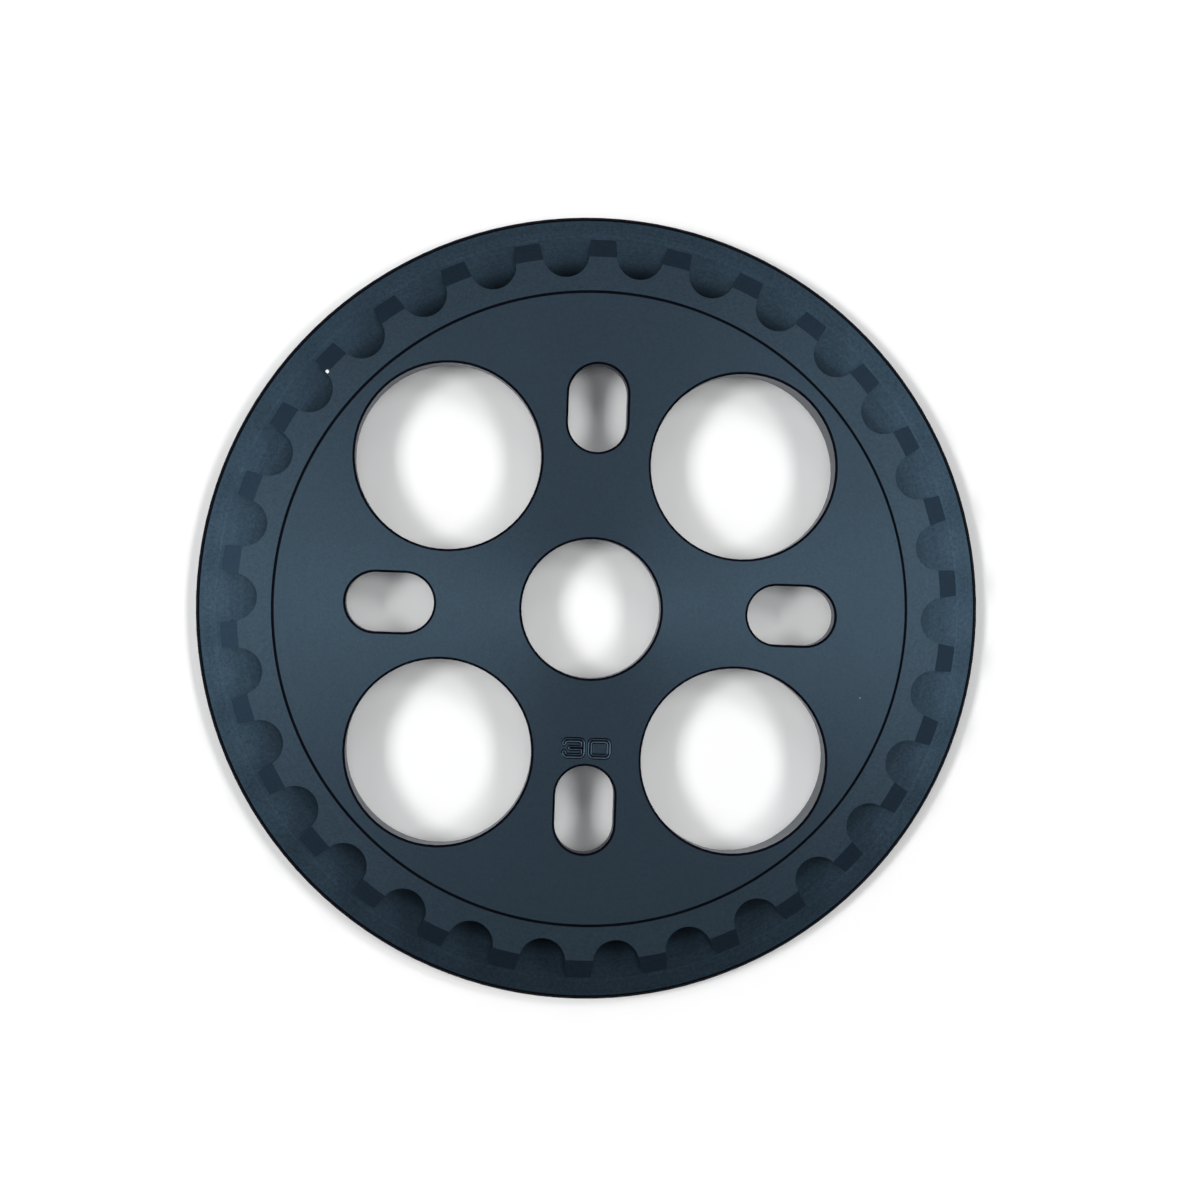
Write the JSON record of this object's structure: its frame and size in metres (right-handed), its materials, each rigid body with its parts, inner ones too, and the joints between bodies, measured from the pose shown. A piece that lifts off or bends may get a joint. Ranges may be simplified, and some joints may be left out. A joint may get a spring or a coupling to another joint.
{
  "type": "bmx guard sprocket",
  "caption": "Toothed chain wheel with a full guard ring behind the teeth, a central spindle bore, round windows and radial crank-bolt slots.",
  "frame": {"origin": "on the bore's axis, in the plane of the guard ring's outer face, which the sprocket lies on", "axes": "+Z along the bore axis towards the chain side, where the teeth are; +X through the middle of a crank-bolt slot and of a tooth valley; +Y through the next slot"},
  "size_m": [0.1356, 0.1356, 0.0104],
  "materials": {
    "anodised_aluminium": "satin blue-grey anodised, machined all over"
  },
  "bodies": {
    "root": {"sprocket": "anodised_aluminium"}
  },
  "joints": []
}
